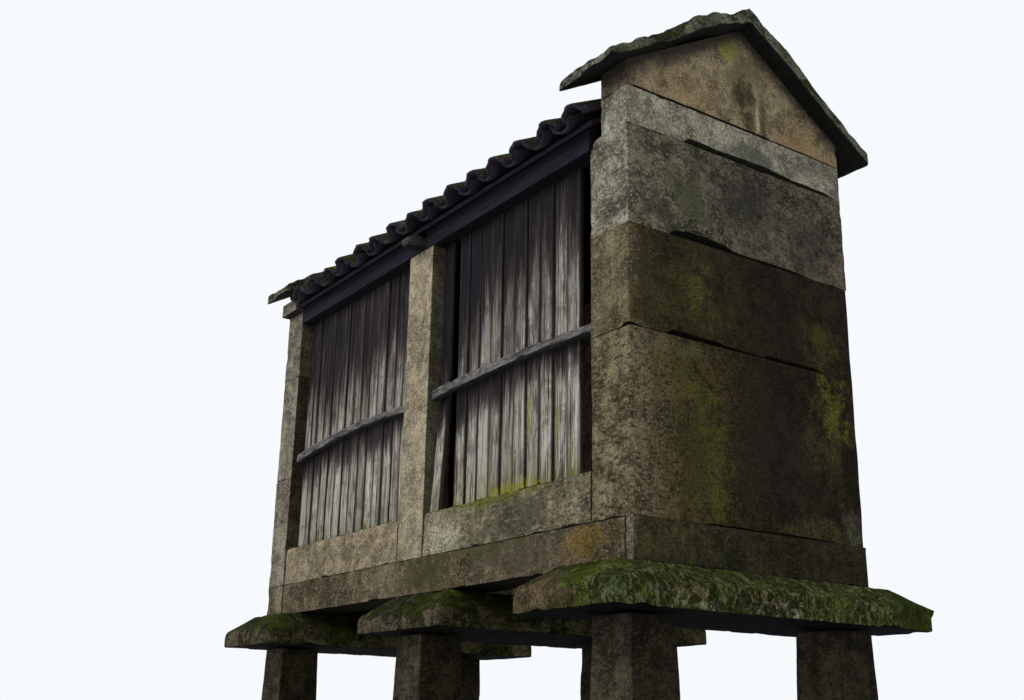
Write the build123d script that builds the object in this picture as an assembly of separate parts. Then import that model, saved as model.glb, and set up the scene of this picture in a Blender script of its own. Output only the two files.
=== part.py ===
from build123d import *
import math
import os

# Raised granary: a narrow store of granite and boards that stands on pillars.
# Millimetres. X runs along the granary, with the near gable at +X and the far one at -X.
# Y runs across it, with the left side at -Y. Z is up from the ground.
# The origin is on the ground under the middle of the granary.

# Driving sizes of the plan
gable_to_gable = 3540
near_face = 1750
width = 1408
near_wall = 270
near_cap_wall = 190
far_wall = 225
ridge_shift = 38
arris = 12

# Pillars that carry the guard slabs
pillar_height = 700
pillar_foot = 290
pillar_depth = 280
pillar_taper = 20
pillar_proud = 28
near_pillar_x = 1615
middle_pillar_x = 30
far_pillar_x = -1600

# Guard slabs that keep rats off the store
guard_thick = 200
guard_edge = 80
guard_corner = 100
guard_reach = 1920
guard_slope = 150
near_guard_length = 685
middle_guard_length = 840
middle_guard_x = 140
far_guard_length = 750
near_guard_half = 950
middle_guard_half = 862
far_guard_half = 932

# Sills and floor
sill_height = 180
sill_width = 250
sill_cover = 50
floor_thick = 25
floor_joint = 6
floor_board = 150
panel_thick = 160
panel_height = 220

# Walls
near_course_heights = (796, 468, 480, 185)
far_course_heights = (673, 673, 449, 85)
far_cap_proud = 55
post_x = -23
post_width = 258
post_height = 1705
joint_gap = 3

# Boards and rails between the posts
board_pitch = 104
board_gap = 8
first_board = 95
narrow_board = 66
closing_board = 50
foot_spring = 40
board_thick = 25
board_recess = 70
rail_thick = 52
rail_heights = (68, 48)
near_rail_lifts = (814, 836)
far_rail_lifts = (757, 812)
near_rail_bow = 20
far_rail_bow = 33
rail_arris = 10

# Gable tops and copings
shoulder_rise = 126
far_shoulder_rise = 80
gable_rise = 430
coping_front = 80
far_coping_front = 40
coping_back = 40
coping_reach = 862
coping_tip = 76
coping_crown = 104
coping_swell = 22
coping_joint = 8

# Roof timbers and tiles
plate_thick = 100
tie_height = 80
tie_width = 90
tie_reach = 822
tie_end_round = 14
ridge_beam_width = 90
ridge_beam_height = 130
deck_thick = 22
deck_over_sill_face = 110
deck_reach = 752
tile_reach = 833
tile_pitch = 207
tile_cover_width = 146
tile_height = 95
tile_thick = 17
tile_edge_from_gable = 62
tile_seat = 0.3
ridge_tile_half = 95
ridge_tile_rise = 66
ridge_tile_thick = 17

# Places worked out from the sizes above
half_width = width / 2
far_face = near_face - gable_to_gable
near_inner = near_face - near_wall
near_cap_inner = near_face - near_cap_wall
far_inner = far_face + far_wall
guard_top = pillar_height + guard_thick
sill_top = guard_top + sill_height
panel_top = sill_top + panel_height
post_top = sill_top + post_height
post_near = post_x + post_width / 2
post_far = post_x - post_width / 2
near_shoulder = sill_top + sum(near_course_heights) + shoulder_rise
far_shoulder = sill_top + sum(far_course_heights) + far_shoulder_rise
deck_ridge = post_top + deck_over_sill_face + gable_rise
sides = {"left": -1, "right": 1}


def save(shape, name):
    """Write one piece of the granary to its own file."""
    shape.label = name
    export_step(shape, f"parts/{name}.step")


def block(x0, x1, y0, y1, z0, z1):
    """A squared block between the given limits."""
    middle = Pos((x0 + x1) / 2, (y0 + y1) / 2, (z0 + z1) / 2)
    return middle * Box(abs(x1 - x0), abs(y1 - y0), abs(z1 - z0))


def dressed(stone):
    """Take the sharp arrises off a stone."""
    return chamfer(stone.edges(), arris)


def cut_cornered(x_size, y_size, corner):
    """A rectangle with its four corners knocked off."""
    plain = Rectangle(x_size, y_size)
    return chamfer(plain.vertices(), corner)


def across(outline, x0, x1):
    """Push an outline of (y, z) points along the granary from x0 to x1."""
    face = make_face(Polyline(*[(x0, y, z) for y, z in outline], close=True))
    return extrude(face, amount=x1 - x0, dir=(1, 0, 0))


def pitch(side):
    """Rise for each millimetre of run on one slope of the roof."""
    return gable_rise / (half_width - side * ridge_shift)


def slope_z(side, y, ridge_z):
    """Height at y of the sloping line that starts at ridge_z over the ridge."""
    return ridge_z - pitch(side) * abs(y - ridge_shift)


# Pillars

def pillar(x, side):
    """A tapered granite pillar, with its outer face just proud of the wall above."""
    y = side * (half_width + pillar_proud - pillar_depth / 2)
    foot = Pos(x, y, 0) * cut_cornered(pillar_foot, pillar_depth, arris)
    lean = math.degrees(math.atan(pillar_taper / pillar_height))
    return extrude(foot, amount=pillar_height, taper=lean)


def pillar_pairs():
    """Each pair of pillars under one guard slab."""
    places = {"near": near_pillar_x, "middle": middle_pillar_x, "far": far_pillar_x}
    for place, x in places.items():
        pair = [pillar(x, side) for side in sides.values()]
        save(Compound(children=pair), f"pillars_{place}")


# Guard slabs

def guard_slab(x0, x1, half):
    """A flat slab with an upright edge, sloped on all sides up to the seat of the sills."""
    centre = (x0 + x1) / 2
    foot = Pos(centre, 0, pillar_height) * cut_cornered(x1 - x0, 2 * half, guard_corner)
    edge = extrude(foot, amount=guard_edge)
    rise = guard_thick - guard_edge
    lean = math.degrees(math.atan(guard_slope / rise))
    return edge + extrude(Pos(0, 0, guard_edge) * foot, amount=rise, taper=lean)


def guard_slabs():
    """The three guard slabs, one across each pair of pillars."""
    save(guard_slab(guard_reach - near_guard_length, guard_reach, near_guard_half), "guard_slab_near")
    middle_start = middle_guard_x - middle_guard_length / 2
    save(guard_slab(middle_start, middle_start + middle_guard_length, middle_guard_half), "guard_slab_middle")
    save(guard_slab(-guard_reach, far_guard_length - guard_reach, far_guard_half), "guard_slab_far")


# Sills and floor

def sills():
    """Long sill beams, and the gable sills that close their ends."""
    for name, side in sides.items():
        beam = block(far_inner, near_face - sill_cover, side * half_width,
                     side * (half_width - sill_width), guard_top, sill_top)
        save(beam, f"sill_beam_{name}")
    inner = half_width - sill_width
    near = block(near_face - sill_cover, near_face, -half_width, half_width, guard_top, sill_top)
    near += block(near_inner, near_face - sill_cover, -inner, inner, guard_top, sill_top)
    save(near, "gable_sill_near")
    far = block(far_face, far_inner, -half_width, half_width, guard_top, sill_top)
    save(dressed(far), "gable_sill_far")


def floor():
    """Floor boards laid across the sills, between the feet of the walls."""
    half = half_width - panel_thick - joint_gap
    start = far_inner + joint_gap
    run = near_inner - joint_gap - start
    count = int(run // floor_board)
    step = run / count
    boards = []
    for i in range(count):
        x = start + i * step
        boards.append(block(x, x + step - floor_joint, -half, half, sill_top, sill_top + floor_thick))
    save(Compound(children=boards), "floor_boards")


# Gable walls

def gable_courses(place, face, inner, cap_inner, heights, cap_proud):
    """Great squared stones laid one on another, each as wide as the granary, with a thinner one on top."""
    z = sill_top
    for number, height in enumerate(heights, start=1):
        top_one = number == len(heights)
        back = cap_inner if top_one else inner
        half = half_width + cap_proud if top_one else half_width
        stone = block(face, back, -half, half, z, z + height)
        save(dressed(stone), f"{place}_gable_stone_{number}")
        z += height
    return z


def pediment(place, x0, x1, base, shoulder):
    """The pointed stone on top of a gable, under its two copings."""
    outline = [
        (-half_width, base),
        (half_width, base),
        (half_width, shoulder),
        (ridge_shift, shoulder + gable_rise),
        (-half_width, shoulder),
    ]
    save(across(outline, x0, x1), f"pediment_{place}")


def coping(side, x0, x1, ridge_z):
    """One coping slab: it lies on the pediment, thins towards its tip and is rounded there."""
    tip_y = side * coping_reach
    tip_z = slope_z(side, tip_y, ridge_z)
    start = ridge_shift + side * coping_joint / 2
    nose_y = tip_y - side * coping_tip * 0.75
    nose_z = slope_z(side, nose_y, ridge_z) + coping_tip
    ridge_base = Vector(x0, start, slope_z(side, start, ridge_z))
    ridge_crown = ridge_base + Vector(0, 0, coping_crown)
    middle_y = (start + nose_y) / 2
    middle_z = slope_z(side, middle_y, ridge_z) + (coping_tip + coping_crown) / 2 + coping_swell
    tip = Vector(x0, tip_y, tip_z)
    nose = Vector(x0, nose_y, nose_z)
    crown = Vector(x0, middle_y, middle_z)
    brow = Vector(x0, tip_y - side * coping_tip * 0.16, tip_z + coping_tip * 0.62)
    outline = [
        Line(ridge_base, tip),
        ThreePointArc(tip, brow, nose),
        ThreePointArc(nose, crown, ridge_crown),
        Line(ridge_crown, ridge_base),
    ]
    return extrude(make_face(outline), amount=x1 - x0, dir=(1, 0, 0))


def gables():
    """Both gable walls, from the sill to the copings."""
    near_top = gable_courses("near", near_face, near_inner, near_cap_inner, near_course_heights, 0)
    far_top = gable_courses("far", far_face, far_inner, far_inner, far_course_heights, far_cap_proud)
    pediment("near", near_cap_inner, near_face, near_top, near_shoulder)
    pediment("far", far_face, far_inner, far_top, far_shoulder)
    for name, side in sides.items():
        near = coping(side, near_inner - coping_back, near_face + coping_front, near_shoulder + gable_rise)
        save(near, f"coping_near_{name}")
        far = coping(side, far_face - far_coping_front, far_inner + coping_back, far_shoulder + gable_rise)
        save(far, f"coping_far_{name}")


# Long sides

def bays():
    """The two openings of a long side, from one stone face to the next."""
    return {"near": (post_near, near_inner), "far": (far_inner, post_far)}


def low_panels(name, side):
    """Low stone panels on the sill, between the post and the gables."""
    stones = []
    for x0, x1 in bays().values():
        stones.append(block(x0, x1, side * half_width, side * (half_width - panel_thick), sill_top, panel_top))
    save(Compound(children=stones), f"low_panels_{name}")


def middle_post(name, side):
    """The stone post between the two bays."""
    stone = block(post_far, post_near, side * half_width, side * (half_width - panel_thick), sill_top, post_top)
    upright = stone.edges().filter_by(Axis.Z)
    save(chamfer(upright, arris), f"middle_post_{name}")


def board_wall(x0, x1, side, damaged=False):
    """Upright boards with open joints, from the low panel to the eave.

    In the damaged wall the narrow board and the last full one are lost, and the first board is bent
    outwards below the rail.
    """
    outer = side * (half_width - board_recess)
    inner = outer - side * board_thick
    start = x0 + first_board + narrow_board
    run = x1 - closing_board - start
    count = round(run / board_pitch)
    edges = [x0, x0 + first_board] + [start + i * run / count for i in range(count + 1)] + [x1]
    spans = [(left + board_gap / 2, right - board_gap / 2) for left, right in zip(edges, edges[1:])]
    boards = [block(left, right, outer, inner, panel_top, post_top) for left, right in spans]
    if damaged:
        boards = [bent_board(*spans[0], side, outer, inner)] + boards[2:-2] + boards[-1:]
    return Compound(children=boards)


def bent_board(x0, x1, side, outer, inner):
    """A board that hangs free below the rail, with its foot pushed outwards."""
    bend = sill_top + near_rail_lifts[0]
    outline = [
        (outer, post_top),
        (inner, post_top),
        (inner, bend),
        (inner + side * foot_spring, panel_top),
        (outer + side * foot_spring, panel_top),
        (outer, bend),
    ]
    return across(outline, x0, x1)


def bowed(x0, x1, y, z0, z1, bow):
    """A line along the granary from height z0 to z1 that bows upwards in the middle."""
    return ThreePointArc((x0, y, z0), ((x0 + x1) / 2, y, (z0 + z1) / 2 + bow), (x1, y, z1))


def rail(x0, x1, side, lifts, bow):
    """A rail across the boards, bowed upwards and a little thinner at its near end."""
    y = side * (half_width - board_recess)
    far_z, near_z = (sill_top + lift for lift in lifts)
    lower = bowed(x0, x1, y, far_z, near_z, bow)
    upper = bowed(x0, x1, y, far_z + rail_heights[0], near_z + rail_heights[1], bow)
    ends = [Line(lower @ 0, upper @ 0), Line(lower @ 1, upper @ 1)]
    bar = extrude(make_face([lower, upper] + ends), amount=rail_thick, dir=(0, side, 0))
    long_edges = bar.edges().filter_by(GeomType.CIRCLE)
    return chamfer(long_edges, rail_arris)


def long_sides():
    """Stone panels, posts, boards and rails of both long sides."""
    lifts = {"near": near_rail_lifts, "far": far_rail_lifts}
    bows = {"near": near_rail_bow, "far": far_rail_bow}
    for name, side in sides.items():
        low_panels(name, side)
        middle_post(name, side)
        rails = []
        for place, (x0, x1) in bays().items():
            damaged = (place, name) == ("near", "left")
            save(board_wall(x0, x1, side, damaged), f"boards_{place}_{name}")
            rails.append(rail(x0, x1, side, lifts[place], bows[place]))
        save(Compound(children=rails), f"rails_{name}")


# Roof timbers

def under_deck(x0, x1, reach):
    """The space below the roof boards, used to trim timbers to the slopes."""
    outline = [
        (-reach, post_top),
        (reach, post_top),
        (reach, slope_z(1, reach, deck_ridge)),
        (ridge_shift, deck_ridge),
        (-reach, slope_z(-1, -reach, deck_ridge)),
    ]
    return across(outline, x0, x1)


def tie_beam():
    """The beam across the middle posts, with its ends under the eaves."""
    x0 = post_x - tie_width / 2
    x1 = post_x + tie_width / 2
    beam = block(x0, x1, -tie_reach, tie_reach, post_top, post_top + tie_height)
    beam &= under_deck(x0, x1, tie_reach)
    ends = beam.faces().sort_by(Axis.Y)
    save(fillet(ends[0].edges() + ends[-1].edges(), tie_end_round), "tie_beam")


def wall_plates():
    """Plates on top of the boards, cut to the slope of the roof."""
    spans = [(far_inner, post_x - tie_width / 2), (post_x + tie_width / 2, near_inner)]
    for name, side in sides.items():
        outer = side * half_width
        inner = side * (half_width - plate_thick)
        outline = [
            (outer, post_top),
            (inner, post_top),
            (inner, slope_z(side, inner, deck_ridge)),
            (outer, slope_z(side, outer, deck_ridge)),
        ]
        plates = [across(outline, x0, x1) for x0, x1 in spans]
        save(Compound(children=plates), f"wall_plates_{name}")


def ridge_beam():
    """The beam under the ridge, from pediment to pediment."""
    y0 = ridge_shift - ridge_beam_width / 2
    y1 = ridge_shift + ridge_beam_width / 2
    low = deck_ridge - ridge_beam_height
    beam = block(far_inner, near_cap_inner, y0, y1, low, deck_ridge)
    save(beam & under_deck(far_inner, near_cap_inner, half_width), "ridge_beam")


def roof_deck(side):
    """Boarding under the tiles of one slope."""
    rise = deck_thick / math.cos(math.atan(pitch(side)))
    edge = side * deck_reach
    edge_z = slope_z(side, edge, deck_ridge)
    outline = [
        (ridge_shift, deck_ridge),
        (edge, edge_z),
        (edge, edge_z + rise),
        (ridge_shift, deck_ridge + rise),
    ]
    return across(outline, far_inner, near_cap_inner)


# Tiles

def tile_section():
    """Cut through the tiles along the eave: round covers over round channels."""
    spring = tile_height - tile_cover_width / 2 + tile_thick / 2
    first = near_inner - tile_edge_from_gable
    count = math.ceil((near_inner - far_inner) / tile_pitch) + 2
    curves = []
    x = first + tile_pitch
    for _ in range(count):
        start = x
        foot = start - (tile_pitch - tile_cover_width)
        end = start - tile_pitch
        curves.append(ThreePointArc((start, spring), ((start + foot) / 2, tile_thick), (foot, spring)))
        curves.append(ThreePointArc((foot, spring), ((foot + end) / 2, tile_height), (end, spring)))
        x = end
    top = Wire(curves)
    bottom = Pos(0, -tile_thick, 0) * top
    sides_of_cut = [Line(top @ 0, bottom @ 0), Line(top @ 1, bottom @ 1)]
    return make_face(curves + [bottom] + sides_of_cut)


def tile_crest(side, y):
    """Height at y of the plane that touches the crests of the cover tiles."""
    rise = (deck_thick + tile_seat + tile_height) / math.cos(math.atan(pitch(side)))
    return slope_z(side, y, deck_ridge) + rise


def tile_slope(side):
    """The tiles of one slope, laid on the boarding and stopped at the gables."""
    angle = math.atan(pitch(side))
    down_slope = Vector(0, side * math.cos(angle), -math.sin(angle))
    normal = Vector(0, side * math.sin(angle), math.cos(angle))
    run = (tile_reach + half_width) / math.cos(angle)
    crest = Vector(0, side * tile_reach, tile_crest(side, side * tile_reach))
    eave = crest - normal * tile_height
    plane = Plane(origin=eave, x_dir=(1, 0, 0), z_dir=Vector(1, 0, 0).cross(normal))
    sheet = extrude(plane * tile_section(), amount=run, dir=down_slope * -1)
    low = deck_ridge - gable_rise * 2
    keep = block(far_inner, near_cap_inner, ridge_shift + side * joint_gap, side * (tile_reach + half_width),
                 low, deck_ridge + gable_rise)
    return sheet & keep


def ridge_tiles():
    """Round tiles along the ridge, on the covers of both slopes, from coping to coping."""
    x0 = far_inner + coping_back + joint_gap
    x1 = near_inner - coping_back - joint_gap
    outer = []
    inner = []
    for side in sides.values():
        y = ridge_shift + side * ridge_tile_half
        foot = tile_crest(side, y) + tile_seat
        outer.append(Vector(x0, y, foot))
        inner.append(Vector(x0, y - side * ridge_tile_thick, foot + pitch(side) * ridge_tile_thick))
    top = max(tile_crest(side, ridge_shift) for side in sides.values()) + ridge_tile_rise
    crown = Vector(x0, ridge_shift, top)
    hollow = Vector(x0, ridge_shift, top - ridge_tile_thick)
    outline = [
        ThreePointArc(outer[0], crown, outer[1]),
        ThreePointArc(inner[0], hollow, inner[1]),
        Line(outer[0], inner[0]),
        Line(outer[1], inner[1]),
    ]
    save(extrude(make_face(outline), amount=x1 - x0, dir=(1, 0, 0)), "ridge_tiles")


def roof():
    """Timbers, boarding and tiles."""
    tie_beam()
    wall_plates()
    ridge_beam()
    for name, side in sides.items():
        save(roof_deck(side), f"roof_deck_{name}")
        save(tile_slope(side), f"roof_tiles_{name}")
    ridge_tiles()


os.makedirs("parts", exist_ok=True)
pillar_pairs()
guard_slabs()
sills()
floor()
gables()
long_sides()
roof()
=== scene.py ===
import math

import bpy
import numpy as np
from mathutils import Matrix, Vector


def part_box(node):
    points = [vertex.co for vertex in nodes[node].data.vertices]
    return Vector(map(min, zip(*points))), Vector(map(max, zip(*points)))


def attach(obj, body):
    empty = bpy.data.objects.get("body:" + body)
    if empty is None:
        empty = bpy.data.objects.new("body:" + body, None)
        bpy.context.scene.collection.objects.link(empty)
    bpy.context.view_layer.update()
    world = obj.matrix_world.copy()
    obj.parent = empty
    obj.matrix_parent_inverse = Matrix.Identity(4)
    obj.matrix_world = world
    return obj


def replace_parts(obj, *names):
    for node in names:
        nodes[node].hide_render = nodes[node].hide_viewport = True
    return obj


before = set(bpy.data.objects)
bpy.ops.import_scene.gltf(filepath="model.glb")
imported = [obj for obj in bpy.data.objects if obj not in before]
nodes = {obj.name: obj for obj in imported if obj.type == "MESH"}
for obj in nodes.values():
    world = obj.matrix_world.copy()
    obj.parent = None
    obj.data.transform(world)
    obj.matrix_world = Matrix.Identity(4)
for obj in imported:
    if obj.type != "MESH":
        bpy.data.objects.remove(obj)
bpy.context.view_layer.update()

# Metres, in the model's own frame: the near gable is at +X and the long side in view at -Y.

SEED = 11
BODY = "root"

# Camera, worked out from the stone joints and the eave in the photograph; degrees, and mm for the lens
CAMERA_PLACE = (5.275, -3.723, 0.265)
CAMERA_YAW = -55.47
CAMERA_PITCH = 17.83
CAMERA_ROLL = 0.98
CAMERA_LENS = 41.3

# How near to a plane a corner of a CAD solid lies when it is on it
TOUCH = 0.001

# Left face of the walls, from which the near gable's dampness and painted shade spread, and where its patches
# lie
LEFT_FACE = -0.704
PATCH_SIDE = -0.7

# Place of the ridge, and height of the point of the pediments
RIDGE_Y = 0.038
PEDIMENT_TOP = 3.565

# Wear of the stones
STONE_CELL = 0.018
ARRIS = 0.0045
CORNER = 0.02
HOLLOWS = 0.008
GRIT = 0.003
LOST_CORNER = 0.075

# Reach of a patch through the face that it lies on, and how ragged the rim of a guard slab is
GABLE_PATCH_DEPTH = 0.5
SIDE_PATCH_DEPTH = 0.4
RAGGED_RIM = 0.012

# Coping slabs; each is bent from a block that runs on past the ridge
COPING_CELL = 0.014
COPING_ARRIS = 0.022
COPING_CORNER = 0.035
COPING_PAST = 0.1

# Boards, and rails with their height before they take their own form
BOARD_CELL = 0.024
BOARD_ARRIS = 0.004
RAIL_CELL = 0.011
RAIL_ARRIS = 0.014
RAIL_HEIGHT = 0.06

# Roof tiles
TILE_PITCH = 0.207
TILE_LENGTH = 0.43
TILE_LAP = 0.1
TILE_THICK = 0.015
TILE_SPAN = math.radians(84)
TILE_STEPS = (7, 10)
TILE_SHORTEST = 0.12
COVER_HALF = 0.077
COVER_LIFT = 0.022
CHANNEL_HALF = 0.084
CHANNEL_LIFT = 0.002
CHANNEL_BACK = 0.014

# Ridge tiles, and the rise of the channels' heads below them
RIDGE_SPAN = math.radians(80)
RIDGE_STEPS = (7, 12)
RIDGE_LAP = 0.07
HEAD_RISE = 0.085
HEAD_RISE_LENGTH = 0.12


# Places read from the frame

def cad_points(name):
    """The corner places of a CAD node."""
    return np.array([v.co for v in nodes[name].data.vertices])


def solids(name):
    """The corner places of each separate solid of a CAD node, in order along X, then Y."""
    places = cad_points(name)
    _, group = np.unique(np.round(places * 1e4).astype(np.int64), axis=0, return_inverse=True)
    group = group.reshape(-1)
    parent = list(range(group.max() + 1))

    def root(i):
        while parent[i] != i:
            i = parent[i]
        return i

    for face in nodes[name].data.polygons:
        for v in face.vertices[1:]:
            parent[root(group[v])] = root(group[face.vertices[0]])
    found = {}
    for point, g in zip(places, group):
        found.setdefault(root(g), []).append(point)
    return sorted((np.array(p) for p in found.values()), key=lambda p: tuple(np.round(p.min(axis=0), 3)))


def box_of(name):
    """The lowest and highest corner of a CAD node."""
    return [np.array(corner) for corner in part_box(name)]


def extent(points):
    """The lowest and highest corner of some points."""
    return points.min(axis=0), points.max(axis=0)


def level(points, axis, value):
    """The points that lie at a value along an axis."""
    return points[np.abs(points[:, axis] - value) < TOUCH]


# Smooth noise for the meshes, the same on every run

def lattice_noise(points, seed):
    """Smooth noise from 0 to 1 at each point."""
    cell = np.floor(points).astype(np.int64)
    part = points - cell
    part = part * part * (3 - 2 * part)
    total = np.zeros(len(points))
    for corner in np.ndindex(2, 2, 2):
        at = cell + corner
        mixed = (at[:, 0] * 73856093) ^ (at[:, 1] * 19349663) ^ (at[:, 2] * 83492791) ^ (seed * 2654435)
        mixed = mixed & 0x7FFFFFFF
        mixed = ((mixed ^ (mixed >> 13)) * 1274126177) & 0x7FFFFFFF
        mixed = ((mixed ^ (mixed >> 15)) * 668265263) & 0x7FFFFFFF
        value = (mixed & 0xFFFFFF) / 0xFFFFFF
        weight = np.prod(np.where(corner, part, 1 - part), axis=1)
        total += weight * value
    return total


def rough_noise(points, size, layers, seed):
    """Layers of noise, from 0 to 1, whose largest forms are about size metres across."""
    total = np.zeros(len(points))
    share = 0.5
    full = 0.0
    for layer in range(layers):
        total += share * lattice_noise(points / size, seed + 17 * layer)
        full += share
        size /= 2
        share /= 2
    return total / full


def smooth_step(low, high, value):
    """0 below low, 1 above high, and a smooth rise between."""
    t = np.clip((value - low) / (high - low), 0, 1)
    return t * t * (3 - 2 * t)


# Meshes

def axis_steps(low, high, cell, edge):
    """Places along one side of a stone, close together near its arrises."""
    length = high - low
    edge = min(edge, length / 4)
    near = [0.0, edge * 0.35, edge * 0.8, edge * 1.4]
    inner = length - 2 * near[-1]
    count = max(1, round(inner / cell))
    middle = [near[-1] + inner * i / count for i in range(1, count)]
    return low + np.array(near + middle + [length - n for n in reversed(near)])


def box_lattice(low, high, cell, edge, corner=None):
    """Points and four-sided faces over the six sides of a box; corner is the rounding in plan."""
    edges = (corner or edge, corner or edge, edge)
    steps = [axis_steps(low[a], high[a], cell, edges[a]) for a in range(3)]
    count = [len(s) for s in steps]
    faces = []
    for axis in range(3):
        u, v = [a for a in range(3) if a != axis]
        gu, gv = (g.ravel() for g in np.meshgrid(*(np.arange(count[a] - 1) for a in (u, v)), indexing="ij"))
        for end in (0, count[axis] - 1):
            corners = []
            for du, dv in ((0, 0), (1, 0), (1, 1), (0, 1)):
                index = [np.full(len(gu), end)] * 3
                index[u] = gu + du
                index[v] = gv + dv
                corners.append(np.ravel_multi_index(index, count))
            outward = (end > 0) == (axis != 1)
            faces.append(np.stack(corners if outward else corners[::-1], axis=1))
    used, faces = np.unique(np.concatenate(faces), return_inverse=True)
    points = [steps[a][i] for a, i in enumerate(np.unravel_index(used, count))]
    return np.stack(points, axis=1), faces.reshape(-1, 4)


def join(parts):
    """The points and faces of several meshes in one."""
    starts = np.cumsum([0] + [len(points) for points, _ in parts])
    faces = [[i + start for i in face] for (_, own), start in zip(parts, starts) for face in own]
    return np.concatenate([points for points, _ in parts]), faces


def put(name, data):
    """A new object in the scene."""
    made = bpy.data.objects.new(name, data)
    bpy.context.scene.collection.objects.link(made)
    return made


def make_object(name, points, faces, material, smooth=True, **marks):
    """A mesh object that rides on the granary's one body; marks are numbers kept at each point."""
    mesh = bpy.data.meshes.new(name)
    mesh.from_pydata([tuple(p) for p in points], [], [tuple(int(i) for i in f) for f in faces])
    mesh.materials.append(material)
    for mark, values in marks.items():
        layer = mesh.attributes.new(mark, "FLOAT", "POINT")
        layer.data.foreach_set("value", np.asarray(values, dtype=np.float32))
    mesh.update()
    mesh.polygons.foreach_set("use_smooth", [smooth] * len(mesh.polygons))
    piece = put(name, mesh)
    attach(piece, BODY)
    return piece


def replace_node(node, pieces):
    """Put pieces in the place of a CAD node."""
    for piece in pieces:
        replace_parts(piece, node)


def rounded(out):
    """Offsets from the middle of a corner, drawn in from its square outline to a circle."""
    shrink = np.abs(out).max(axis=1) / np.maximum(np.linalg.norm(out, axis=1), 1e-9)
    return out * shrink[:, None]


def wear(points, low, high, edge, hollows, grit, seed, corner=0.0, round_end=0, bed=1.0):
    """Round the arrises of a box of stone unevenly and wear its faces inwards.

    corner is the rounding in plan, of all upright arrises or only of those at one end along x. bed is
    the share of the wear that the upper and lower faces get.
    """
    low = np.asarray(low)
    high = np.asarray(high)
    centre = (low + high) / 2
    half = (high - low) / 2
    q = points - centre
    if corner:
        round_by = corner * (0.5 + rough_noise(points * (0.2, 0.2, 1), 0.25, 2, seed + 31))
        if round_end:
            round_by = np.where(q[:, 0] * round_end > 0, round_by, 0.002)
        round_by = np.minimum(round_by, half[:2].min() * 0.9)[:, None]
        inner = np.clip(q[:, :2], -(half[:2] - round_by), half[:2] - round_by)
        q = np.column_stack([inner + rounded(q[:, :2] - inner), q[:, 2]])
    along = rough_noise(points, 0.16, 3, seed)
    chips = smooth_step(0.6, 0.8, rough_noise(points, 0.1, 2, seed + 5))
    radius = edge * (0.45 + 0.9 * along + 2.4 * chips)
    radius = np.minimum(radius, half.min() * 0.9)[:, None]
    inner = np.clip(q, -(half - radius), half - radius)
    out = q - inner
    normal = out / np.maximum(np.linalg.norm(out, axis=1, keepdims=True), 1e-9)
    worn = inner + normal * radius
    depth = hollows * rough_noise(points, 0.45, 3, seed + 9) + grit * rough_noise(points, 0.05, 2, seed + 21)
    worn = worn - normal * depth[:, None] * (1, 1, bed)
    return centre + np.clip(worn, -half, half)


def stone(name, low, high, material, seed, edge=ARRIS, corner=CORNER, hollows=HOLLOWS, grit=GRIT, shape=None,
          round_end=0, bed=0.0):
    """One worn stone in the place of a solid; shape bends the squared block to its final form."""
    points, faces = box_lattice(low, high, STONE_CELL, edge, corner)
    points = wear(points, low, high, edge, hollows, grit, seed, corner, round_end, bed)
    if shape:
        points = shape(points)
    return make_object(name, points, faces, material)


# Materials

class Nodes:
    """A node tree under construction."""

    def __init__(self, tree):
        self.tree = tree

    def feed(self, node, feeds):
        """Give inputs of a node their values, or link them to sockets."""
        for key, value in feeds.items():
            if isinstance(value, bpy.types.NodeSocket):
                self.tree.links.new(value, node.inputs[key])
            else:
                node.inputs[key].default_value = value

    def node(self, kind, feeds=None, **settings):
        made = self.tree.nodes.new(kind)
        for key, value in settings.items():
            setattr(made, key, value)
        self.feed(made, feeds or {})
        return made


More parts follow.
